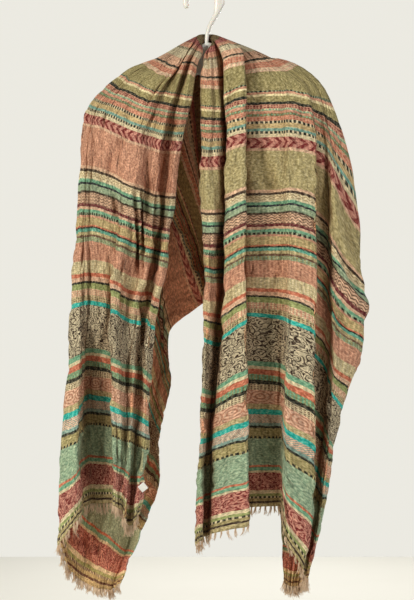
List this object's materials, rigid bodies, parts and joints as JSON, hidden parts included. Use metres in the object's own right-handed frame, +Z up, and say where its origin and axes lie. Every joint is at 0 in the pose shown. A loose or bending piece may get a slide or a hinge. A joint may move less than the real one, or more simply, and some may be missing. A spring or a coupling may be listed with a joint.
{
  "type": "scarf on a hanger",
  "caption": "Long woven striped scarf with fringed ends, draped over a plain moulded clothes hanger so that both ends fall in front.",
  "frame": {"origin": "underside of the top of the hanger's hook, where a rail carries it", "axes": "+Z up, +X to the right of a viewer who faces the open front, +Y away from that viewer"},
  "size_m": [0.5371, 0.1594, 1.0903],
  "materials": {
    "woven_cloth": "matt, striped jacquard weave",
    "fringe_yarn": "loose matt yarn",
    "label_tape": "plain white woven tape",
    "hanger_plastic": "moulded, slightly glossy"
  },
  "bodies": {
    "root": {"shoulder_stretch": "woven_cloth", "left_fall": "woven_cloth", "right_fall": "woven_cloth", "left_fringe": "fringe_yarn", "right_fringe": "fringe_yarn", "care_label": "label_tape", "hanger": "hanger_plastic"}
  },
  "joints": []
}
